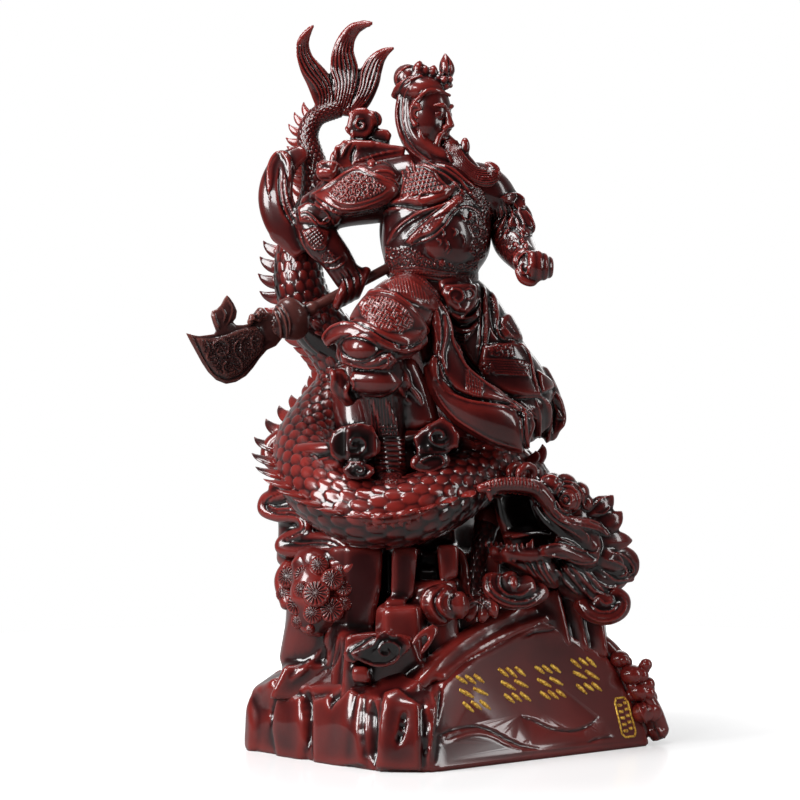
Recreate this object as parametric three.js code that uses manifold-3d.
// A general on a rock with a dragon coiled round it, cast in one with its plinth, and the
// long-handled glaive that passes through the closed right hand. Millimetres, +Z up.
// The inscribed face of the plinth looks to -Y, and the origin is the middle of its underside.
import * as THREE from 'three';
import { mergeVertices } from 'three/addons/utils/BufferGeometryUtils.js';
import { ConvexGeometry } from 'three/addons/geometries/ConvexGeometry.js';
import Module from 'manifold-3d';

const wasm = await Module();
wasm.setup();

// Plinth
const plinthLength = 222;
const plinthDepth = 170;
const ledgeHeight = 45;
const cornerCut = 24;
const panelHeight = 88;
const panelLean = 0.34;
const blockPitch = 34;

// Sculpture, whose own forms are shares of its height
const workHeight = 486;
const share = workHeight / 486;
const sight = (41 * Math.PI) / 180;

// Glaive
const shaftDiameter = 7.2;
const shaftLength = 168;
const bladeThickness = 5;
const bladeLength = 64;
const gripClearance = 0.4;

// Faces that the casting's skin may have
const castingFaces = 9000;
// Below this volume a skin is the seam of two forms and no form of its own
const leastVolume = 2;

const resin = new THREE.MeshStandardMaterial({ color: 0x4a0d0c, roughness: 0.24, metalness: 0 });
const weaponResin = new THREE.MeshStandardMaterial({ color: 0x3d1210, roughness: 0.42, metalness: 0 });

const vec = (p) => new THREE.Vector3(p[0], p[1], p[2]).multiplyScalar(share);

// A repeatable spread of numbers from 0 to 1, for the hewn faces of the rock
function spread(seed) {
  const s = Math.sin(seed * 12.9898) * 43758.5453;
  return s - Math.floor(s);
}

function toSolid(geometry) {
  const bare = geometry.clone();
  bare.deleteAttribute('normal');
  bare.deleteAttribute('uv');
  const merged = mergeVertices(bare, 1e-4);
  const mesh = new wasm.Mesh({
    numProp: 3,
    vertProperties: new Float32Array(merged.attributes.position.array),
    triVerts: new Uint32Array(merged.index.array),
  });
  return new wasm.Manifold(mesh);
}

function fromSolid(solid) {
  const mesh = solid.getMesh();
  const geometry = new THREE.BufferGeometry();
  geometry.setAttribute('position', new THREE.BufferAttribute(new Float32Array(mesh.vertProperties), 3));
  geometry.setIndex(new THREE.BufferAttribute(new Uint32Array(mesh.triVerts), 1));
  geometry.setIndex(withoutHollows(geometry));
  geometry.computeVertexNormals();
  return geometry;
}

// A casting is solid right through, so the skins of pockets shut in between its forms are left out
function withoutHollows(geometry) {
  const index = Array.from(geometry.index.array);
  const owner = Array.from({ length: geometry.attributes.position.count }, (_, i) => i);
  const find = (i) => {
    let top = i;
    while (owner[top] !== top) {
      owner[top] = owner[owner[top]];
      top = owner[top];
    }
    return top;
  };
  for (let i = 0; i < index.length; i += 3) {
    owner[find(index[i])] = find(index[i + 1]);
    owner[find(index[i + 1])] = find(index[i + 2]);
  }
  const skins = new Map();
  for (let i = 0; i < index.length; i += 3) {
    const key = find(index[i]);
    if (!skins.has(key)) skins.set(key, []);
    skins.get(key).push(index[i], index[i + 1], index[i + 2]);
  }
  const kept = [];
  for (const faces of skins.values()) {
    const one = new THREE.BufferGeometry();
    one.setAttribute('position', geometry.attributes.position);
    one.setIndex(faces);
    if (volumeOf(one) > leastVolume) kept.push(...faces);
  }
  return kept;
}

// Where many forms meet, the joined skin has far more corners than its shape needs. This takes
// away corners, those that change the form least first, until at most target faces are left.
function thinned(geometry, target) {
  const place = Float64Array.from(geometry.attributes.position.array);
  const index = geometry.index.array;
  const faces = [];
  const around = Array.from({ length: place.length / 3 }, () => new Set());
  for (let i = 0; i < index.length; i += 3) {
    const face = [index[i], index[i + 1], index[i + 2]];
    face.forEach((v) => around[v].add(faces.length));
    faces.push(face);
  }
  const at = (v) => [place[3 * v], place[3 * v + 1], place[3 * v + 2]];
  const normal = (a, b, c) => {
    const [ux, uy, uz] = [b[0] - a[0], b[1] - a[1], b[2] - a[2]];
    const [wx, wy, wz] = [c[0] - a[0], c[1] - a[1], c[2] - a[2]];
    return [uy * wz - uz * wy, uz * wx - ux * wz, ux * wy - uy * wx];
  };
  const dot = (a, b) => a[0] * b[0] + a[1] * b[1] + a[2] * b[2];
  const sums = around.map(() => new Float64Array(10));
  for (const face of faces) {
    const [a, b, c] = face.map(at);
    const n = normal(a, b, c);
    const size = Math.sqrt(dot(n, n)) || 1;
    const [x, y, z] = n.map((k) => k / size);
    const d = -(x * a[0] + y * a[1] + z * a[2]);
    const terms = [x * x, x * y, x * z, x * d, y * y, y * z, y * d, z * z, z * d, d * d];
    for (const v of face) terms.forEach((term, k) => { sums[v][k] += term * size; });
  }
  const change = (v, w) => {
    const q = sums[v];
    const [x, y, z] = at(w);
    return q[0] * x * x + q[4] * y * y + q[7] * z * z + q[9]
      + 2 * (q[1] * x * y + q[2] * x * z + q[5] * y * z + q[3] * x + q[6] * y + q[8] * z);
  };
  const neighbours = (v) => {
    const near = new Set();
    around[v].forEach((f) => faces[f].forEach((u) => near.add(u)));
    near.delete(v);
    return near;
  };
  const mayMove = (v, w, near) => {
    let shared = 0;
    neighbours(w).forEach((u) => { shared += near.has(u) ? 1 : 0; });
    if (shared !== 2) return false;
    for (const f of around[v]) {
      if (faces[f].includes(w)) continue;
      const before = normal(...faces[f].map(at));
      const after = normal(...faces[f].map((u) => at(u === v ? w : u)));
      const sizes = Math.sqrt(dot(before, before) * dot(after, after));
      if (dot(after, after) < 1e-4 || dot(before, after) < 0.3 * sizes) return false;
    }
    return true;
  };
  let left = faces.length;
  for (let limit = 0.01; left > target && limit < 1e6; limit *= 1.6) {
    for (let v = 0; v < around.length && left > target; v += 1) {
      if (around[v].size === 0) continue;
      const near = neighbours(v);
      let best = -1;
      let least = limit;
      for (const w of near) {
        const cost = change(v, w);
        if (cost < least && mayMove(v, w, near)) {
          best = w;
          least = cost;
        }
      }
      if (best < 0) continue;
      for (const f of [...around[v]]) {
        if (faces[f].includes(best)) {
          faces[f].forEach((u) => around[u].delete(f));
          faces[f] = null;
          left -= 1;
        } else {
          faces[f] = faces[f].map((u) => (u === v ? best : u));
          around[best].add(f);
        }
      }
      around[v].clear();
      sums[v].forEach((term, k) => { sums[best][k] += term; });
    }
  }
  const result = new THREE.BufferGeometry();
  result.setAttribute('position', geometry.attributes.position.clone());
  result.setIndex(faces.filter(Boolean).flat());
  return result;
}

// A closed skin over rings of points, with a pole at each end
function skin(rings, first, last) {
  const sides = rings[0].length;
  const points = [...rings.flat(), first, last];
  const start = rings.length * sides;
  const faces = [];
  for (let j = 0; j < sides; j += 1) {
    const k = (j + 1) % sides;
    faces.push(start, k, j);
    for (let i = 0; i + 1 < rings.length; i += 1) {
      const a = i * sides + j;
      const b = i * sides + k;
      faces.push(a, b, b + sides);
      faces.push(a, b + sides, a + sides);
    }
    faces.push(start + 1, start - sides + j, start - sides + k);
  }
  const geometry = new THREE.BufferGeometry();
  const flat = new Float32Array(points.flatMap((p) => p.toArray()));
  geometry.setAttribute('position', new THREE.BufferAttribute(flat, 3));
  geometry.setIndex(faces);
  return geometry;
}

// A limb along a smooth line. A row is x, y, z and half width; flat is its depth over its
// width, measured towards face; relief may push the skin out at (turn, along).
function limb(rows, { sides = 7, steps = 0, flat = 1, face = [0, -1, 0], dome = 0.5, relief = null } = {}) {
  const line = new THREE.CatmullRomCurve3(rows.map(vec), false, 'centripetal');
  const widths = rows.map((row) => row[3] * share);
  const count = steps || rows.length;
  const normal = new THREE.Vector3(...face).normalize();
  const rings = [];
  const ends = [];
  for (let i = 0; i <= count; i += 1) {
    const t = i / count;
    const centre = line.getPoint(t);
    const along = line.getTangent(t);
    normal.addScaledVector(along, -normal.dot(along)).normalize();
    const side = new THREE.Vector3().crossVectors(normal, along);
    const at = t * (rows.length - 1);
    const low = Math.min(Math.floor(at), rows.length - 2);
    const width = THREE.MathUtils.lerp(widths[low], widths[low + 1], at - low);
    const ring = [];
    for (let j = 0; j < sides; j += 1) {
      const turn = (j / sides) * 2 * Math.PI;
      const grow = relief ? 1 + relief(turn, t) : 1;
      const point = centre.clone().addScaledVector(side, Math.cos(turn) * width * grow);
      ring.push(point.addScaledVector(normal, Math.sin(turn) * width * flat * grow));
    }
    rings.push(ring);
    if (i === 0) ends.push(centre.clone().addScaledVector(along, -width * dome));
    if (i === count) ends.push(centre.clone().addScaledVector(along, width * dome));
  }
  const geometry = skin(rings, ends[0], ends[1]);
  return volumeOf(geometry) < 0 ? flipped(geometry) : geometry;
}

// Volume inside a closed skin, below zero where its faces look inwards
function volumeOf(geometry) {
  const p = geometry.attributes.position;
  const index = geometry.index.array;
  const a = new THREE.Vector3();
  const b = new THREE.Vector3();
  const c = new THREE.Vector3();
  let volume = 0;
  for (let i = 0; i < index.length; i += 3) {
    a.fromBufferAttribute(p, index[i]);
    b.fromBufferAttribute(p, index[i + 1]);
    c.fromBufferAttribute(p, index[i + 2]);
    volume += a.dot(b.cross(c)) / 6;
  }
  return volume;
}

function flipped(geometry) {
  const index = Array.from(geometry.index.array);
  for (let i = 0; i < index.length; i += 3) {
    [index[i], index[i + 1]] = [index[i + 1], index[i]];
  }
  geometry.setIndex(index);
  return geometry;
}

// A turned boss: rims are shares of the radius and height, from the edge in to the middle
const scrollRims = [[0, -1], [1, -0.1], [0.8, 0.75], [0.5, 0.25], [0, 1.05]];
const rosetteRims = [[0, -1], [1, 0.1], [0.45, 0.8], [0, 0.6]];

function boss(centre, radius, height, facing, sides = 7, rims = scrollRims) {
  const profile = rims.map(([out, up]) => new THREE.Vector2(out * radius * share, up * height * share));
  const geometry = new THREE.LatheGeometry(profile, sides);
  const turn = new THREE.Quaternion();
  turn.setFromUnitVectors(new THREE.Vector3(0, 1, 0), new THREE.Vector3(...facing).normalize());
  geometry.applyQuaternion(turn);
  const middle = vec(centre);
  return geometry.translate(middle.x, middle.y, middle.z);
}

function ball(centre, radius, stretch = [1, 1, 1], sides = 7) {
  const geometry = new THREE.SphereGeometry(radius * share, sides, Math.ceil(sides / 2));
  geometry.rotateX(Math.PI / 2);
  geometry.scale(stretch[0], stretch[1], stretch[2]);
  const middle = vec(centre);
  return geometry.translate(middle.x, middle.y, middle.z);
}

// A hewn block between two heights, leaning by (dx, dy) to its top
function hewnPoints(x, y, low, high, radius, seed, dx, dy) {
  const points = [];
  for (let i = 0; i < 6; i += 1) {
    const turn = ((i + 0.6 * spread(seed + i)) / 6) * 2 * Math.PI;
    const reach = radius * (0.8 + 0.35 * spread(seed + i * 3.7));
    const across = Math.cos(turn) * reach;
    const back = Math.sin(turn) * reach;
    const drop = 0.28 * radius * spread(seed + i * 5.1);
    points.push([x + across, y + back, low]);
    points.push([x + dx + across * 0.84, y + dy + back * 0.84, high - drop]);
  }
  return points;
}

const group = new THREE.Group();
const bodies = [];

// Everything above the plinth is set out along the line of sight and then turned to it
function carve(...geometries) {
  for (const geometry of geometries) {
    bodies.push(toSolid(geometry.clone().rotateZ(-sight)));
  }
}

function hew(points) {
  bodies.push(toSolid(new ConvexGeometry(points.map((p) => new THREE.Vector3(...p)))));
}

// Plinth: a core, cleft blocks round three sides, and the leaning panel in front
function plinth() {
  const halfX = plinthLength / 2;
  const halfY = plinthDepth / 2;
  const nick = cornerCut / 4;
  const foot = [
    [-halfX + cornerCut, -halfY],
    [halfX - nick, -halfY],
    [halfX, -halfY + 2 * nick],
    [halfX, halfY - 1.7 * nick],
    [halfX - 1.7 * nick, halfY],
    [-halfX + 0.7 * nick, halfY],
    [-halfX, halfY - 0.7 * nick],
    [-halfX, -halfY + cornerCut],
  ];
  const core = [];
  for (const [x, y] of foot) {
    const front = Math.max(y, -0.76 * halfY);
    core.push([x * 0.97, front * 0.97, 0]);
    core.push([x * 0.9, front * 0.9, ledgeHeight * 0.95]);
  }
  hew(core);
  for (let i = 0; i < foot.length; i += 1) {
    const from = foot[i];
    const to = foot[(i + 1) % foot.length];
    const isPanelSide = i === 0;
    if (!isPanelSide) cleftBlocks(from, to, 10 * i);
  }
  panel(halfX, halfY);
}

// Blocks of uneven height along one side, parted by upright clefts
function cleftBlocks(from, to, seed) {
  const length = Math.hypot(to[0] - from[0], to[1] - from[1]);
  const count = Math.max(1, Math.round(length / blockPitch));
  const along = [(to[0] - from[0]) / length, (to[1] - from[1]) / length];
  const inward = [-along[1], along[0]];
  let start = 0;
  for (let i = 0; i < count; i += 1) {
    const share0 = (i + 1 + (i + 1 < count ? 0.5 * (spread(seed + i) - 0.5) : 0)) / count;
    const end = length * share0;
    const top = ledgeHeight * (0.86 + 0.3 * spread(seed + i * 2.3));
    const depth = blockPitch;
    const bevel = blockPitch * (0.045 + 0.09 * spread(seed + i * 1.7));
    const chip = 0.015 * blockPitch;
    const points = [];
    for (const [s, d, z] of [
      [start + chip, chip, 0],
      [end - chip, chip, 0],
      [start, depth, 0],
      [end, depth, 0],
      [start + 0.4 * bevel, 3 * chip, top * 0.5],
      [end - 0.4 * bevel, 2 * chip, top * 0.58],
      [start + bevel, 12 * chip, top],
      [end - bevel, 10 * chip, top * 0.95],
      [start - 6 * chip, depth, top * 1.3],
      [end + 6 * chip, depth, top * 1.22],
    ]) {
      points.push([from[0] + along[0] * s + inward[0] * d, from[1] + along[1] * s + inward[1] * d, z]);
    }
    hew(points);
    start = end;
  }
}

// The inscribed panel: one leaning face with an uneven skyline, the ridges that climb beside it,
// and the row of blocks that backs it
function panel(halfX, halfY) {
  const lean = (z) => -halfY + panelLean * z;
  const left = -halfX + 1.125 * cornerCut;
  const right = 0.995 * halfX;
  const span = right - left;
  const skyline = [
    [0.04, 0.28],
    [0.09, 0.54],
    [0.11, 0.62],
    [0.29, 0.79],
    [0.52, 0.93],
    [0.61, 1],
    [0.68, 0.95],
    [0.74, 0.88],
    [0.81, 0.77],
    [0.89, 0.69],
    [0.915, 0.61],
    [0.945, 0.4],
    [0.985, 0.18],
  ];
  const outline = new THREE.Shape();
  outline.moveTo(left, 0);
  outline.lineTo(right, 0);
  for (const [along, up] of [...skyline].reverse()) outline.lineTo(left + along * span, up * panelHeight);
  outline.closePath();
  const slab = new THREE.ExtrudeGeometry(outline, { depth: halfY * 0.75, bevelEnabled: false });
  slab.rotateX(Math.PI / 2);
  slab.translate(0, -halfY + halfY * 0.75, 0);
  slab.applyMatrix4(new THREE.Matrix4().makeShear(0, 0, 0, 0, 0, panelLean));
  bodies.push(toSolid(slab));
  const apex = left + 0.61 * span;
  const unit = panelHeight / 88;
  for (let i = 0; i < 4; i += 1) {
    const back = (7 + 10 * i) * unit;
    const low = (34 + 8 * i) * unit;
    const high = (89 + 3 * i) * unit;
    const start = left + (3 * i - 8) * unit;
    const end = apex - (12 + 9 * i) * unit;
    hew([
      [start, lean(low) + back - 3 * unit, low],
      [start + 10 * unit, lean(low) + back - 8 * unit, low - 4 * unit],
      [start + 2 * unit, lean(low) + back + 20 * unit, low],
      [start, lean(0) + back + 4 * unit, 4 * unit],
      [start + 0.45 * (end - start), lean(high) + back - 10 * unit, low + 0.62 * (high - low)],
      [end - 22 * unit, lean(high) + back - 4 * unit, high - 7 * unit],
      [end, lean(high) + back - 2 * unit, high],
      [end, lean(high) + back + 18 * unit, high],
      [end - 24 * unit, lean(high) + back + 18 * unit, high - 7 * unit],
      [end, lean(0) + back + 24 * unit, 4 * unit],
    ]);
  }
  const tops = [1.2, 1.34, 1.36, 1.22, 1.18, 1.06, 0.95];
  const radius = span / tops.length / 1.35;
  tops.forEach((top, i) => {
    const x = left + ((i + 0.7) / (tops.length + 0.6)) * span;
    const y = lean(panelHeight) + radius * 1.05;
    hew(hewnPoints(x, y, 0.09 * panelHeight, top * panelHeight, radius, 40 + 3.1 * i, 0, 3));
  });
}

// Rock that carries the figure: x, y, foot, top and radius of each hewn block
function rock() {
  const blocks = [
    [0, 8, 8, 128, 56],
    [-66, 12, 8, 146, 36],
    [54, 26, 8, 118, 34],
    [-14, 12, 90, 196, 42],
    [-60, -42, 6, 142, 24],
    [-42, -58, 8, 138, 17],
    [-25, -70, 8, 118, 12],
    [-6, -62, 8, 106, 12],
    [-86, -6, 8, 102, 20],
    [82, 32, 6, 96, 20],
    [-30, -90, 10, 66, 14],
    [-50, -78, 10, 72, 15],
    [-74, -52, 10, 74, 17],
    [-92, -26, 10, 66, 16],
    [40, 50, 8, 150, 36],
    [-30, 52, 8, 168, 36],
    [-70, 40, 8, 96, 26],
    [10, 74, 8, 92, 26],
  ];
  blocks.forEach(([x, y, low, high, radius], i) => {
    carve(new ConvexGeometry(hewnPoints(x, y, low, high, radius, 3 + 7.3 * i, 0, 2).map(vec)));
  });
}

// Clouds: curled bosses on and beside the coil, and the flat band of lobes at the left
function clouds() {
  const up = [0, -0.75, 0.66];
  const discs = [
    [-60.4, -45, 204.8, 17, 6],
    [-56.3, -58, 191, 10, 5],
    [-7, -30, 212, 16, 6],
    [-13.2, -52, 196, 11, 5],
    [12, -34, 204, 10, 5],
    [-34, -28, 204, 13, 6],
  ];
  for (const [x, y, z, radius, height] of discs) {
    carve(boss([x, y, z], radius, height, up));
  }
  const fronts = [
    [-41, -84, 75, 16, 7],
    [-24, -84, 72, 9, 6],
    [46, -28, 108, 17, 8],
    [30, -36, 101, 10, 7],
    [-50, 24, 421, 12, 6],
    [-40, 24, 409, 12, 6],
    [-64, 24, 402, 11, 6],
    [-36, 22, 419, 6, 5],
    [-84, -20, 382, 11, 5],
    [-60, -26, 380, 10, 6],
  ];
  for (const [x, y, z, radius, height] of fronts) {
    carve(boss([x, y, z], radius, height, [0, -1, 0.12]));
  }
  const lobes = [
    [[-112, -2, 198, 5], [-98, -26, 194, 7], [-80, -42, 184, 8], [-62, -56, 184, 6]],
    [[-118, 0, 204, 4], [-117, -2, 190, 7], [-112, -6, 178, 7], [-98, -20, 176, 5]],
    [[-108, -6, 174, 4], [-118, -10, 163, 8], [-110, -16, 152, 7], [-92, -30, 150, 5]],
    [[-96, -20, 148, 4], [-109, -18, 139, 8], [-98, -28, 136, 7], [-74, -46, 138, 8], [-70, -48, 128, 5]],
    [[-92, -24, 130, 5], [-102, -18, 124, 6], [-96, -22, 112, 5]],
    [[-100, 4, 170, 14], [-92, 6, 140, 16], [-86, 2, 108, 14]],
  ];
  for (const rows of lobes) {
    carve(limb(rows, { sides: 6, steps: 5, flat: 0.7 }));
  }
  carve(limb([[-66, -32, 188, 13], [-38, -26, 192, 16], [-8, -24, 198, 15], [14, -20, 196, 12]]));
  carve(limb([[-34, 20, 378, 13], [-46, 27, 398, 14], [-50, 28, 420, 11]], { sides: 6, flat: 0.7 }));
  carve(limb([[-62, 12, 252, 16], [-58, 2, 222, 19], [-50, -10, 194, 18]]));
  carve(limb([[-20, 20, 300, 18], [-24, 22, 258, 22], [-20, 18, 214, 26]]));
  carve(limb([
    [-88, 22, 300, 7],
    [-93.7, 20, 277, 12],
    [-82.3, 26, 256, 15],
    [-62, 26, 238, 15],
    [-40, 20, 215, 16],
  ]));
}

// Pine boughs and the root at the right: clusters of flattened rosettes
function foliage() {
  const rosettes = [
    [-106.4, -25, 120.5],
    [-93.2, -42, 122.8],
    [-87.4, -50, 109],
    [-101.9, -38, 100.7],
    [-77.5, -58, 101],
    [-88, -48, 94],
    [-79, -50, 123.8],
    [-70, -58, 113],
    [-86, -42, 134],
    [-96, -38, 88],
    [-106, -22, 108],
    [-100, -20, 132],
  ];
  carve(limb([[-94, -28, 136, 14], [-92, -32, 112, 22], [-90, -34, 84, 16]], { sides: 7, flat: 0.8 }));
  for (const [x, y, z] of rosettes) {
    carve(boss([x, y - 2, z], 9, 4, [-0.35, -0.85, 0.35], 6, rosetteRims));
  }
  const root = [
    [117, 14, 58, 7],
    [125, 10, 48, 8],
    [130, 14, 36, 8],
    [137, 16, 22, 9],
    [143, 22, 9, 8],
    [132, 10, 22, 8],
    [136, 30, 30, 8],
  ];
  for (const [x, y, z, radius] of root) {
    carve(ball([x, y, z], radius, [1, 1, 0.86], 6));
  }
  carve(limb([
    [84, 28, 66, 9],
    [100, 22, 70, 7],
    [116, 22, 54, 8],
    [124, 24, 30, 10],
    [130, 24, 6, 10],
  ], { sides: 6, steps: 5 }));
}

// Dragon: one scaly body from the tail fin down, once round the rock, and up into the head
const dragonLine = [
  [-73.5, 25, 430, 6],
  [-88.4, 25, 424, 6.5],
  [-93.8, 25, 412.5, 7],
  [-91.8, 25, 400.3, 8],
  [-88.4, 25, 387.4, 9.5],
  [-88.5, 28, 368.5, 11.5],
  [-96, 28, 349.5, 13.5],
  [-100, 26, 331.2, 15.5],
  [-99.2, 24, 310.8, 17],
  [-91.2, 26, 290.5, 18],
  [-75.6, 30, 270.1, 19],
  [-67, 32, 251.7, 20],
  [-71, 28, 236.2, 20.5],
  [-84.1, 15, 219.7, 21],
  [-94.3, -5, 201.7, 21.5],
  [-89.6, -32, 183.1, 22],
  [-74, -55, 170, 22],
  [-51, -68, 161.7, 22],
  [-28.2, -66, 162.8, 22],
  [-5.3, -50, 171, 22],
  [13.5, -25, 181.4, 21],
  [32.2, 0, 188.1, 21],
  [53.1, 22, 185.6, 20],
  [77.5, 36, 176.6, 19],
  [97, 30, 163, 18],
  [94, 10, 157, 17],
  [86, 2, 154, 16],
];

function dragonBody() {
  carve(limb(dragonLine, { sides: 8, steps: 42, face: [-1, 0, 0] }));
  const line = new THREE.CatmullRomCurve3(dragonLine.map(vec), false, 'centripetal');
  const spines = 38;
  for (let i = 0; i < spines; i += 1) {
    const t = 0.03 + (0.84 * i) / (spines - 1);
    const at = t * (dragonLine.length - 1);
    const width = dragonLine[Math.round(at)][3];
    const centre = line.getPoint(t);
    const along = line.getTangent(t);
    const out = new THREE.Vector3(centre.x + 24 * share, centre.y, 0).normalize();
    out.addScaledVector(along, -out.dot(along)).normalize();
    const side = new THREE.Vector3().crossVectors(along, out);
    const spot = (a, b, c) => centre.clone()
      .addScaledVector(along, a * share)
      .addScaledVector(out, b * share)
      .addScaledVector(side, c * share);
    const rise = 5 + 0.4 * width;
    const half = 3 + 0.2 * width;
    carve(new ConvexGeometry([
      spot(-half, width - 3, 0),
      spot(half, width - 3, 0),
      spot(0, width - 3, 2.6),
      spot(0, width - 3, -2.6),
      spot(-half * 1.1, width + rise, 0),
    ]));
  }
}

function tailFin() {
  const lobes = [
    [
      [-79, 23, 424, 6.5],
      [-77, 22, 431, 6.5],
      [-86.5, 22, 443, 6.5],
      [-94.4, 20, 457, 5.2],
      [-96.3, 16, 471, 4.2],
      [-90.8, 12, 483.9, 1],
    ],
    [
      [-76, 24, 424, 8],
      [-72, 25, 437, 9.5],
      [-70.1, 24, 456, 9],
      [-68, 21, 471, 6.5],
      [-59, 16, 482, 4],
      [-49, 10, 485.4, 0.8],
    ],
    [
      [-73, 24, 424, 8],
      [-62, 26, 433, 7.5],
      [-54, 26, 446, 7.5],
      [-49, 25, 459, 6.2],
      [-43, 22, 467, 4],
      [-36.5, 20, 470.4, 0.8],
    ],
  ];
  for (const rows of lobes) {
    carve(limb(rows, { sides: 6, steps: 8, flat: 0.42, dome: 0.2 }));
  }
}

// The dragon's head has its own axes: forward, towards the near side, and up from the jaw hinge
const jawHinge = [79.6, -5, 131];
function onHead(a, b, c) {
  const forward = [-Math.cos(sight), -Math.sin(sight)];
  const near = [Math.sin(sight), -Math.cos(sight)];
  return [
    jawHinge[0] + a * forward[0] + b * near[0],
    jawHinge[1] + a * forward[1] + b * near[1],
    jawHinge[2] + c,
  ];
}

function headLimb(rows, options) {
  return limb(rows.map(([a, b, c, r]) => [...onHead(a, b, c), r]), options);
}

// A pointed tooth, its root sunk in the gum
function tooth(a, b, c, rise) {
  const root = [
    [2.6, 0],
    [-2.6, 0],
    [0, 2.2],
    [0, -2.2],
  ].map(([da, db]) => vec(onHead(a + da, b + db, c)));
  return new ConvexGeometry([...root, vec(onHead(a, b, c + rise))]);
}

function dragonHead() {
  const up = [0, 0, 1];
  const near = [0.656, -0.755, 0];
  carve(headLimb([
    [-18, 0, 20, 19],
    [-4, 0, 26, 21],
    [10, 0, 32, 19],
    [26, 0, 39, 15],
    [44, 0, 47, 13],
    [60, 0, 50, 10],
  ], { sides: 8, steps: 6, flat: 0.72, face: up, dome: 0.4 }));
  carve(headLimb([[-14, 0, 6, 18], [8, 0, 3, 16], [28, 0, 2, 13], [44, 0, 6, 9], [50, 0, 9, 5]],
    { sides: 7, steps: 5, flat: 0.42, face: up }));
  carve(headLimb([
    [0, 0, 12, 8],
    [18, 0, 12, 7],
    [34, 0, 17, 5],
    [42, 0, 24, 2.5],
  ], { sides: 5, steps: 4, flat: 0.35, face: up }));
  carve(headLimb([
    [-8, 0, 40, 18],
    [-20, 0, 20, 22],
    [-20, 0, -4, 21],
    [-16, 0, -24, 17],
  ], { sides: 8, steps: 5 }));
  carve(headLimb([[0, 0, 22, 17], [18, -4, 24, 14], [36, -6, 31, 9]], { sides: 7, steps: 3 }));
  carve(ball(onHead(-4, 0, 16), 20, [1, 1, 1], 8));
  for (const side of [-1, 1]) {
    carve(ball(onHead(15.5, side * 16, 38), 6.5, [1, 1, 1], 7));
    carve(headLimb([
      [-4, side * 14, 46, 4],
      [8, side * 18, 48, 6],
      [20, side * 17, 46, 5],
      [29, side * 13, 44, 3],
    ], { sides: 5, steps: 3 }));
    carve(headLimb([
      [47, side * 5, 54, 3],
      [56, side * 8, 58, 5],
      [63, side * 7, 55, 4.5],
      [62, side * 7, 49, 4],
    ], { sides: 5, steps: 3 }));
    carve(headLimb([
      [4, side * 15, 22, 6],
      [-2, side * 19, 14, 8],
      [-10, side * 18, 4, 8],
      [-14, side * 14, -8, 5],
    ], { sides: 5, steps: 4 }));
    for (let i = 0; i < 5; i += 1) {
      const a = 20 + 9 * i;
      const wide = 14 - 1.7 * i;
      carve(tooth(a, side * wide, 36 + 2.6 * i, -9));
      if (i < 4) carve(tooth(a, side * wide * 0.9, 4 + 0.8 * i, 9));
    }
    const manes = [
      [-4, 10, 46, -34, 13, 40],
      [-8, 14, 36, -41, 17, 27],
      [-12, 16, 24, -46, 17, 11],
      [-14, 17, 10, -42, 18, -8],
      [-12, 17, -4, -38, 16, -22],
      [-6, 16, -8, -22, 17, -34],
      [0, 13, 0, -4, 15, -30],
    ];
    for (const [a0, b0, c0, a1, b1, c1] of manes) {
      const mid = [(a0 + a1) / 2 + 2, side * (b0 + b1) * 0.56, (c0 + c1) / 2 + 4];
      carve(headLimb([[a0, side * b0, c0, 8], [...mid, 9], [a1, side * b1, c1, 1]],
        { sides: 6, steps: 4, flat: 0.5, face: near, dome: 0.2 }));
    }
    carve(headLimb([
      [12, side * 8, 42, 5],
      [-8, side * 9, 56, 4],
      [-26, side * 10, 60, 2.5],
      [-38, side * 11, 57, 0.8],
    ], { sides: 5, steps: 4 }));
  }
  for (let i = 0; i < 4; i += 1) {
    const a = 40 - 12 * i;
    carve(headLimb([
      [a, 0, 0, 7],
      [a - 6, 0, -10, 5.5],
      [a - 4, 0, -18 - 2 * i, 1],
    ], { sides: 5, steps: 3 }));
  }
  carve(headLimb([[-30, 8, -22, 12], [-18, 8, -32, 14], [0, 6, -30, 10]], { sides: 6, steps: 4 }));
}

function dragonLeg() {
  carve(limb([
    [34, -10, 178, 13],
    [41.7, -34, 169, 12],
    [30, -46, 156, 11],
    [24, -52, 137, 9.5],
    [20, -55, 118, 8.5],
    [21, -56, 102, 9],
  ], { sides: 7, steps: 8 }));
  const claws = [
    [10, -60, 101],
    [14, -67, 95],
    [25, -69, 93],
    [35, -60, 96],
  ];
  for (const [x, y, z] of claws) {
    carve(limb([
      [20, -55, 105, 5.5],
      [(x + 20) / 2, y, z + 8, 4.5],
      [x, y - 2, z - 4, 1],
    ], { sides: 5, steps: 3 }));
  }
  carve(limb([[34, -32, 168, 6], [14, -50, 152, 4], [8, -56, 134, 1]], { sides: 5, steps: 4 }));
}

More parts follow.
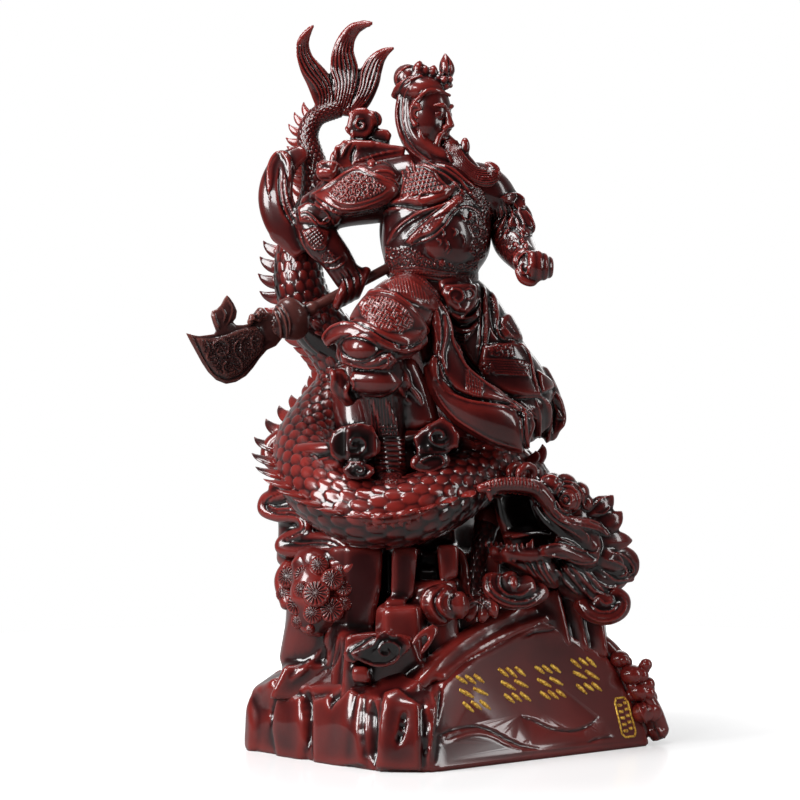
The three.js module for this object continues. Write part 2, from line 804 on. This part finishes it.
// Robe skirt, with folds that deepen to the hem
function skirt() {
  const folds = 9;
  const relief = (turn, t) => 0.085 * t * Math.sin(folds * turn + 2.2 * t) + 0.04 * t * Math.cos(4 * turn);
  const rows = [
    [-11.4, 2, 314, 29],
    [-3, 4, 296, 34],
    [5, 8, 276, 38],
    [15, 10, 254, 42],
    [26, 12, 233, 45],
    [36, 14, 213, 46],
  ];
  carve(limb(rows, { sides: 26, steps: 6, flat: 0.86, dome: -0.15, relief }));
  const rolls = [
    [
      [-11.7, -34, 300, 9],
      [-9, -44, 270, 12],
      [2.5, -52, 246, 14],
      [24.2, -50, 227, 16],
      [56, -34, 213, 12],
    ],
    [[20, -22, 300, 8], [32, -26, 276, 10], [46, -24, 250, 11], [62, -14, 226, 11], [66, -8, 208, 8]],
    [[8, -30, 300, 8], [16, -38, 274, 9], [30, -42, 246, 10], [44, -38, 220, 9]],
    [[36, 12, 304, 7], [52, 18, 270, 9], [66, 26, 243, 10], [74, 30, 224, 8], [74, 28, 204, 5]],
    [[30, -14, 306, 6], [44, -10, 280, 8], [58, -6, 254, 9], [74, 2, 236, 7], [80, 6, 214, 4]],
    [[-24, 30, 306, 9], [-20, 42, 270, 12], [-10, 48, 236, 14], [4, 50, 206, 12]],
    [[12, 32, 306, 9], [22, 44, 270, 12], [34, 50, 238, 13], [44, 50, 208, 11]],
  ];
  for (const rows2 of rolls) {
    carve(limb(rows2, { sides: 6, steps: 6, flat: 0.6, face: [0.2, -1, 0] }));
  }
}

function torso() {
  const chest = [0.45, -0.88, 0];
  const rows = [
    [-9, 0, 303, 29],
    [-9, -2, 317, 29],
    [-8, -6, 332, 37],
    [-6.5, -6, 350, 38],
    [-6, 0, 368, 36],
    [-9, 5, 384, 29],
    [-11.3, 8, 397, 14],
  ];
  carve(limb(rows, { sides: 12, steps: 7, flat: 0.8, face: chest }));
  carve(limb([
    [-9, -1, 307, 31.5],
    [-9.4, -2, 318, 31],
  ], { sides: 12, steps: 1, flat: 0.86, face: chest, dome: 0.05 }));
  carve(ball([8, -31, 341], 18, [1, 0.5, 1], 8));
  carve(limb([
    [3, -26, 318, 12],
    [7, -33, 305, 13],
    [9, -36, 290, 5],
  ], { sides: 6, steps: 3, flat: 0.4, face: chest }));
  carve(limb([
    [-20, -20, 370, 12],
    [-2, -24, 374, 15],
    [12, -18, 378, 11],
  ], { sides: 6, steps: 3, flat: 0.6, face: chest }));
  carve(limb([
    [-30, 14, 386, 10],
    [-24, 22, 350, 22],
    [-20, 20, 318, 20],
  ], { sides: 7, steps: 4, flat: 0.5, face: [0, 1, 0] }));
}

function rightArm() {
  carve(limb([
    [-24, 4, 378, 21],
    [-48, 3, 373, 21],
    [-70, 3, 367, 18],
    [-90, 4, 358, 14],
  ], { sides: 9, steps: 5 }));
  carve(limb([
    [-92, 4, 359, 12.5],
    [-87, 0, 345, 13],
    [-75, -2, 330, 11],
    [-66, 1, 315, 9.5],
  ], { sides: 8, steps: 4 }));
  carve(limb([
    [-90, -8, 370, 3],
    [-77, -17, 372, 13],
    [-60, -20, 376, 18],
    [-44, -18, 380, 16],
    [-30, -12, 382, 7],
  ], { sides: 7, steps: 5, flat: 0.45, face: [-0.15, -0.85, 0.5] }));
  carve(limb([
    [-97, 10, 400, 6],
    [-110, 10, 390, 10],
    [-115, 6, 372, 12],
    [-110, 4, 352, 12],
    [-100, 2, 333, 6],
  ], { sides: 7, steps: 6, flat: 0.5, face: [-0.5, -0.85, 0] }));
}

function leftArm() {
  carve(limb([
    [12, 4, 378, 17],
    [27, 8, 376, 18],
    [39, 18, 366, 17],
    [46, 22, 352, 14],
  ], { sides: 8, steps: 4 }));
  carve(limb([
    [46, 20, 354, 13],
    [47, 4, 340, 14],
    [51, -12, 331, 12],
    [57, -24, 324, 10],
  ], { sides: 8, steps: 4 }));
  carve(limb([
    [24, -6, 380, 5],
    [32, 0, 376, 14],
    [42, 10, 364, 13],
    [52, 14, 354, 4],
  ], { sides: 7, steps: 4, flat: 0.5, face: [0.5, -0.6, 0.6] }));
  carve(limb([[48, 12, 376, 6], [56, 8, 362, 9], [55, 2, 346, 7]], { sides: 6, steps: 3 }));
  carve(ball([58.5, -27, 322.5], 11.5, [1, 1, 0.95], 8));
  for (let i = 0; i < 4; i += 1) {
    const z = 330 - 5 * i;
    carve(limb([[50, -35, z, 3.2], [60, -39, z - 1, 3.4], [69, -31, z - 1, 3.2]], { sides: 5, steps: 3 }));
  }
}

// Shaft line of the glaive, in the sight frame: the hand closes round it
const grip = [-63.7, 2, 309.4];
const shaftWay = new THREE.Vector3(0.8, 0.42, 0.43).normalize();
function onShaft(distance) {
  return vec(grip).addScaledVector(shaftWay, distance);
}

function rightHand() {
  carve(ball([grip[0], grip[1] - 1, grip[2] + 4], 11.5, [1, 1, 1.05], 8));
  for (let i = 0; i < 4; i += 1) {
    const centre = onShaft((-8 + 5.4 * i) * share).divideScalar(share);
    const ring = [];
    for (let k = 0; k < 5; k += 1) {
      const turn = 0.5 + k * 1.05;
      const up = 8.5 * Math.cos(turn);
      ring.push([centre.x + 4 * Math.cos(turn), centre.y - 8.5 * Math.sin(turn), centre.z + up, 3.1]);
    }
    carve(limb(ring, { sides: 5, steps: 4 }));
  }
}

// The leg that is drawn up, its armour flap, greave and boot
function leg() {
  carve(limb([
    [-18.1, -5, 300.7, 20],
    [-31.5, -36, 291, 21],
    [-44, -58, 276, 18],
    [-47, -60, 264, 13],
  ], { sides: 8, steps: 5 }));
  carve(limb([
    [-47, -58, 272, 16],
    [-45, -56, 252, 15],
    [-42, -52, 235, 12.5],
    [-39, -48, 213, 11],
    [-37, -48, 192, 9.5],
    [-36.7, -50, 184, 9],
  ], { sides: 8, steps: 7 }));
  carve(limb([
    [-36.7, -42, 184, 9.5],
    [-36.7, -58, 182, 9.5],
    [-37.5, -72, 179, 7],
  ], { sides: 7, steps: 3, flat: 0.8, face: [0, 0, 1] }));
  carve(limb([[-20, -24, 312, 8], [-32, -46, 303, 24], [-44, -66, 285, 27], [-50, -76, 270, 19]],
    { sides: 8, steps: 5, flat: 0.32, face: [-0.5, -0.6, 0.62] }));
  carve(limb([
    [-80.6, -50, 276, 3],
    [-67, -66, 273, 6],
    [-48, -78, 268, 7],
    [-31.5, -76, 268, 6],
    [-15, -60, 278, 3],
  ], { sides: 6, steps: 6, flat: 0.6, face: [0, 0, 1] }));
  carve(limb([
    [-24, -66, 268, 10],
    [-34, -72, 262, 12],
    [-54, -74, 262, 12],
    [-64, -66, 268, 7],
  ], { sides: 6, steps: 4, flat: 0.7, face: [0, -1, 0] }));
  carve(limb([
    [-62, -50, 252, 5],
    [-50, -64, 246, 8],
    [-34, -62, 244, 8],
    [-26, -48, 246, 5],
  ], { sides: 6, steps: 4 }));
}

function head() {
  const faceWay = [0.97, -0.25, 0];
  const rows = [
    [-4, -1, 401, 8],
    [-8, -1, 408, 13],
    [-11, 0, 417, 15.5],
    [-13, 0, 429, 16.5],
    [-15, 1, 440, 16.5],
    [-17, 2, 449, 12],
  ];
  carve(limb(rows, { sides: 10, steps: 6, flat: 1.22, face: faceWay }));
  carve(limb([[5, -3, 434, 2.5], [9, -4, 425, 3.4], [8, -4, 420, 3]], { sides: 5, steps: 2 }));
  carve(limb([
    [-2, -15, 436, 3],
    [5, -9, 437, 3.4],
    [6, 5, 437, 3.4],
    [2, 13, 436, 3],
  ], { sides: 5, steps: 3 }));
  carve(limb([
    [-20, 3, 452, 13],
    [-24, 4, 441, 15.5],
    [-25, 4, 428, 17],
    [-24, 3, 414, 17],
    [-18, 1, 403, 16],
    [-7, -4, 396, 13],
    [7, -8, 393, 6],
  ], { sides: 9, steps: 8, flat: 0.62, face: [-1, 0, 0] }));
  carve(limb([
    [1, -4, 411, 12],
    [5, -7, 401, 12],
    [9, -8, 394, 11],
    [17, -10, 387, 9],
    [26, -12, 383.5, 7],
    [33.5, -12, 387, 5],
    [33, -12, 394, 2.5],
    [29, -12, 395, 1],
  ], { sides: 7, steps: 9, flat: 0.8, face: [0.4, -1, 0] }));
  carve(ball([-27.1, 3, 450], 9.5, [1, 1, 0.95], 7));
  carve(limb([
    [-14, 1, 446, 17],
    [-14, 1, 452, 14],
  ], { sides: 10, steps: 1, flat: 1.1, face: faceWay, dome: 0.35 }));
  carve(limb([
    [-3, -1, 450, 7],
    [-1, -2, 457, 7],
    [0, -2, 463, 4.5],
    [0, -2, 467, 1],
  ], { sides: 7, steps: 4, dome: 0.2 }));
  for (const [x, y] of [[-18, 0], [-10, -2], [-14, 8]]) {
    carve(ball([x, y, 457], 4.2, [1, 1, 1], 6));
  }
  carve(ball([12.8, -4, 404], 4.5, [1, 1, 1], 6));
}

// Glaive: a round shaft, a collar, and a curved blade with two flame-like prongs on its back
function glaive() {
  const radius = shaftDiameter / 2;
  const shaft = new THREE.CylinderGeometry(radius, radius, shaftLength, 12);
  shaft.translate(0, shaftLength / 6, 0);
  const collarRims = [
    [0, -0.446],
    [1.25, -0.435],
    [1.74, -0.393],
    [1.53, -0.345],
    [1.11, -0.304],
    [0.86, -0.268],
    [0.69, -0.238],
    [0, -0.238],
  ];
  const collar = new THREE.LatheGeometry(
    collarRims.map(([out, along]) => new THREE.Vector2(out * shaftDiameter, along * shaftLength)),
    10,
  );
  const outline = new THREE.Shape();
  const edge = [
    [-0.12, -0.125],
    [-0.33, -0.141],
    [-0.58, -0.234],
    [-0.9, -0.234],
    [-1.02, -0.094],
    [-1.04, 0.156],
    [-1.03, 0.438],
  ];
  const back = [
    [-0.74, 0.297],
    [-0.66, 0.5],
    [-0.56, 0.438],
    [-0.42, 0.578],
    [-0.4, 0.406],
    [-0.5, 0.266],
    [-0.31, 0.219],
    [-0.2, 0.312],
    [0.02, 0.266],
    [0.1, 0.094],
  ];
  outline.moveTo(0.1 * bladeLength, -0.078 * bladeLength);
  outline.splineThru(edge.map(([l, w]) => new THREE.Vector2(l, w).multiplyScalar(bladeLength)));
  for (const [l, w] of back) outline.lineTo(l * bladeLength, w * bladeLength);
  outline.closePath();
  const blade = new THREE.ExtrudeGeometry(outline, {
    depth: 0.6 * bladeThickness,
    bevelThickness: 0.2 * bladeThickness,
    bevelSize: 0.2 * bladeThickness,
    bevelSegments: 1,
    curveSegments: 3,
  });
  blade.translate(0, 0, -0.3 * bladeThickness);
  const length = shaftWay.clone();
  const level = new THREE.Vector3(0, 0, 1).addScaledVector(length, -length.z).normalize();
  const broad = new THREE.Vector3().crossVectors(length, level);
  const frame = new THREE.Matrix4().makeBasis(length, level, broad);
  blade.applyMatrix4(frame);
  const foot = onShaft(-shaftLength / 3);
  blade.translate(foot.x, foot.y, foot.z);
  const stand = new THREE.Quaternion().setFromUnitVectors(new THREE.Vector3(0, 1, 0), length);
  const middle = onShaft(0);
  for (const piece of [shaft, collar]) {
    piece.applyQuaternion(stand);
    piece.translate(middle.x, middle.y, middle.z);
  }
  return [shaft, collar, blade].map((piece) => toSolid(piece.rotateZ(-sight)));
}

// The way that the glaive takes through the hand and past the back, with its clearance
function glaiveRoom() {
  const radius = shaftDiameter / 2 + gripClearance;
  const room = new THREE.CylinderGeometry(radius, radius, 1.18 * shaftLength, 12);
  room.translate(0, shaftLength / 6, 0);
  room.applyQuaternion(new THREE.Quaternion().setFromUnitVectors(new THREE.Vector3(0, 1, 0), shaftWay));
  const middle = onShaft(0);
  room.translate(middle.x, middle.y, middle.z);
  return toSolid(room.rotateZ(-sight));
}

plinth();
rock();
clouds();
foliage();
dragonBody();
tailFin();
dragonHead();
dragonLeg();
skirt();
torso();
leg();
leftArm();
rightArm();
rightHand();
head();

const joined = thinned(fromSolid(bodies.reduce((whole, next) => whole.add(next))), castingFaces);
const casting = toSolid(joined).subtract(glaiveRoom());
const statue = new THREE.Mesh(fromSolid(casting), resin);
statue.name = 'statue';
group.add(statue);

const weapon = new THREE.Mesh(fromSolid(glaive().reduce((whole, next) => whole.add(next))), weaponResin);
weapon.name = 'guandao';
group.add(weapon);

export default group;
